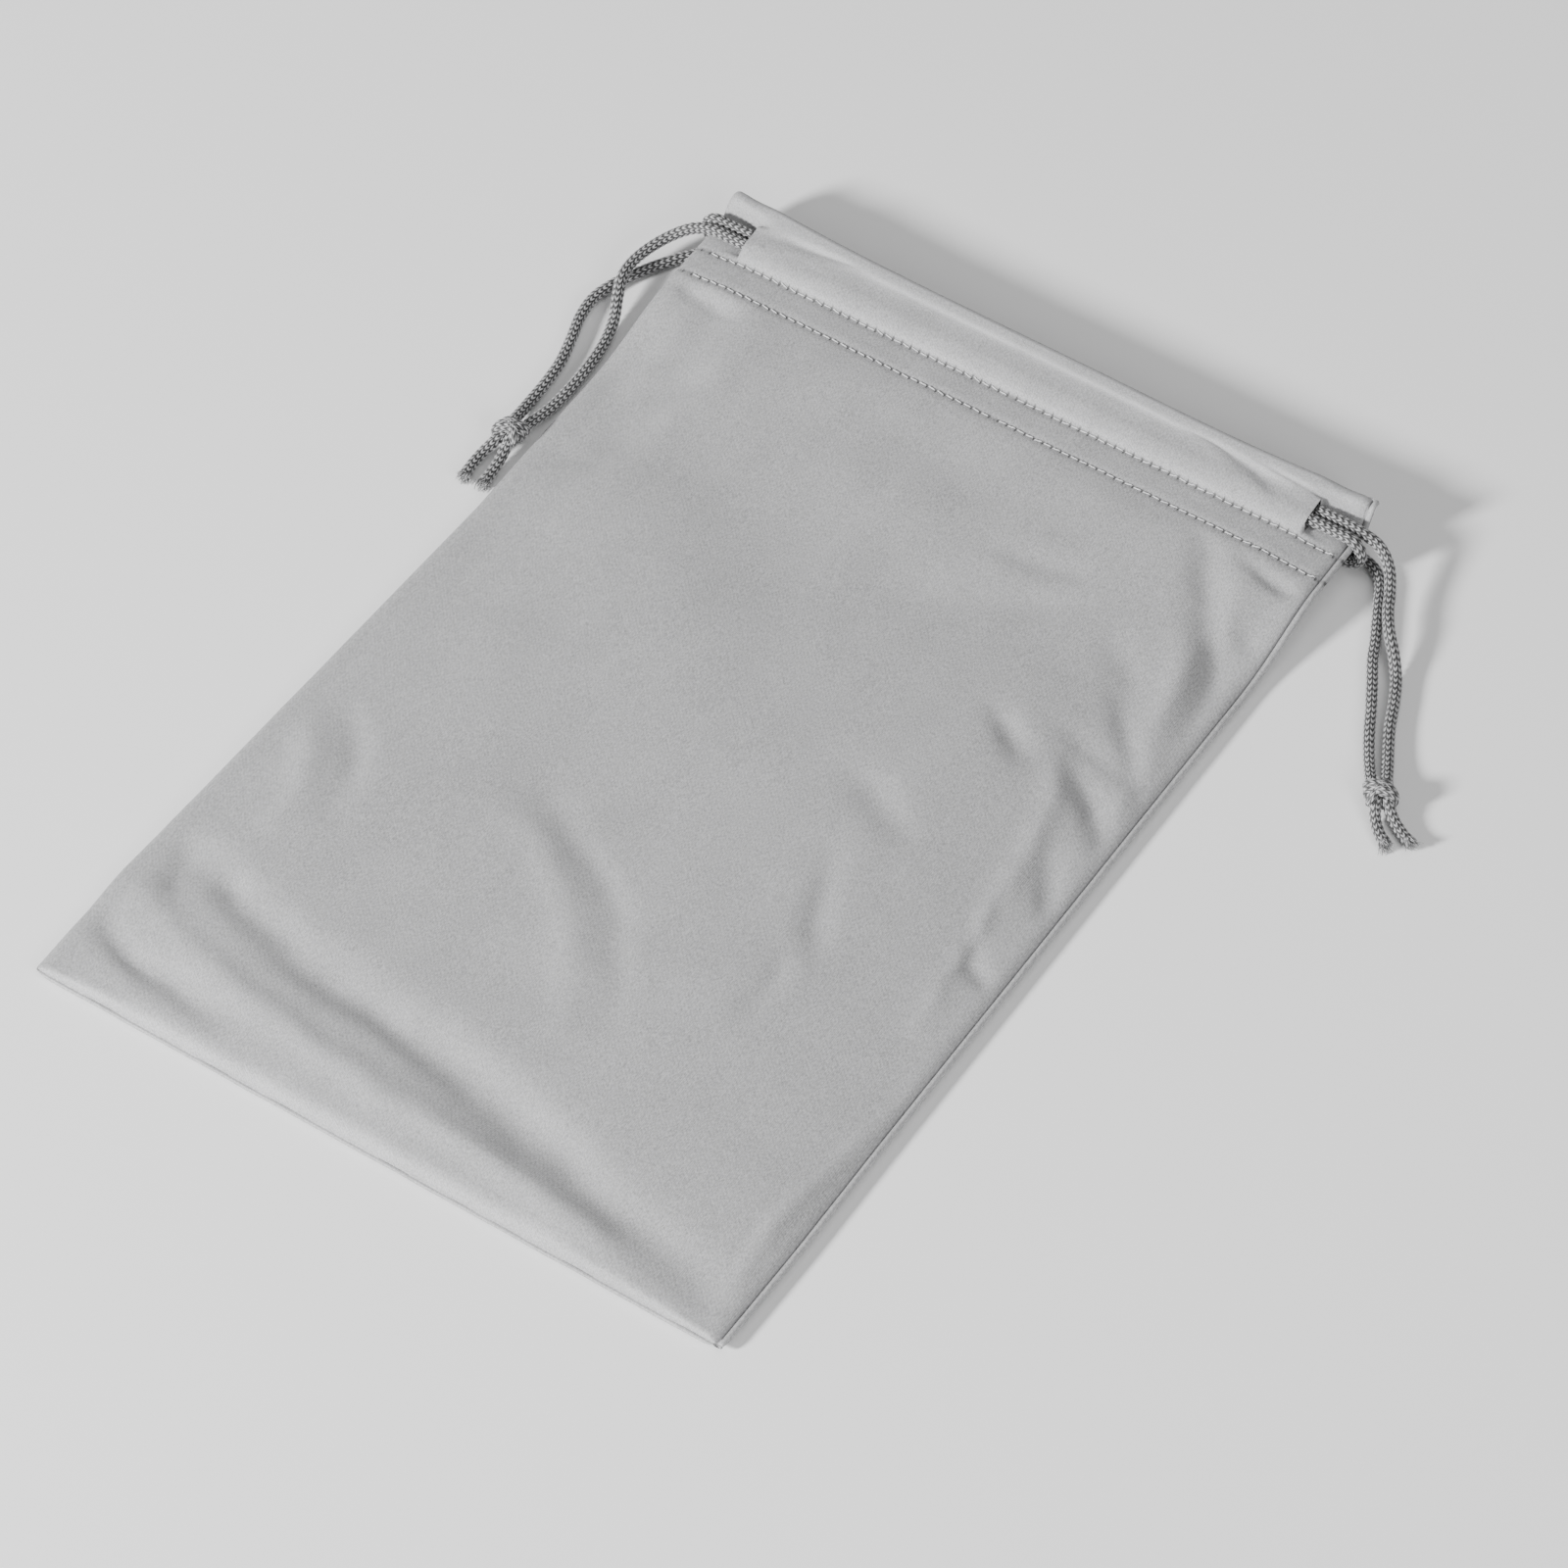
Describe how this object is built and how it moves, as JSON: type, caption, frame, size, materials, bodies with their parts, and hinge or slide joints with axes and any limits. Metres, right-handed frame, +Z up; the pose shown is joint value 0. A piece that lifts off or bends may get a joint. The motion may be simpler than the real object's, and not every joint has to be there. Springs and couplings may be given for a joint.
{
  "type": "shoe bag",
  "caption": "Flat drawstring shoe bag in soft grey knit, lying on its back, with two knotted drawcords running in a hemmed channel at the mouth.",
  "frame": {"origin": "under the middle of the bag, on the surface it lies on", "axes": "+X from the folded side to the seamed side, +Y from the bottom seam to the mouth, +Z up through the front panel"},
  "size_m": [0.3323, 0.372, 0.017],
  "materials": {
    "microfibre": "matte fine knit",
    "thread": "polyester sewing thread",
    "drawcord": "knitted cord"
  },
  "bodies": {
    "bag": {"front_panel": "microfibre", "back_panel": "microfibre", "front_hem_facing": "microfibre", "back_hem_facing": "microfibre", "front_upper_stitches": "thread", "front_lower_stitches": "thread", "back_upper_stitches": "thread", "back_lower_stitches": "thread", "bottom_seam_allowance": "microfibre", "bottom_seam_overlock": "thread"},
    "left_side": {"left_fold": "microfibre"},
    "right_side": {"right_seam_roll": "microfibre", "side_seam_allowance": "microfibre", "side_seam_overlock": "thread"},
    "left_drawcord": {"left_cord_run": "drawcord", "left_front_leg": "drawcord", "left_back_leg": "drawcord", "left_knot": "drawcord", "left_outer_tail": "drawcord", "left_inner_tail": "drawcord"},
    "right_drawcord": {"right_cord_run": "drawcord", "right_front_leg": "drawcord", "right_back_leg": "drawcord", "right_knot": "drawcord", "right_outer_tail": "drawcord", "right_inner_tail": "drawcord"}
  },
  "joints": [
    {"name": "left_cord_pull", "type": "slide", "parent": "bag", "child": "left_drawcord", "axis": [-1, 0, 0], "range_m": [0, 0.05], "deforming": ["front_panel", "back_panel", "front_hem_facing", "back_hem_facing", "front_upper_stitches", "front_lower_stitches", "back_upper_stitches", "back_lower_stitches"]},
    {"name": "right_cord_pull", "type": "slide", "parent": "bag", "child": "right_drawcord", "axis": [1, 0, 0], "range_m": [0, 0.05]},
    {"name": "right_side_gather", "type": "hinge", "parent": "bag", "child": "right_side", "pos_m": [0.08, -0.17, 0], "axis": [0, 0, 1], "range_deg": [0, 8.5]},
    {"name": "left_side_gather", "type": "hinge", "parent": "bag", "child": "left_side", "pos_m": [-0.08, -0.17, 0], "axis": [0, 0, -1], "range_deg": [0, 8.5]}
  ],
  "couplings": [
    {"joint": "right_side_gather", "follows": "left_cord_pull", "rad_per_m": 2.941},
    {"joint": "left_side_gather", "follows": "right_cord_pull", "rad_per_m": 2.941}
  ]
}
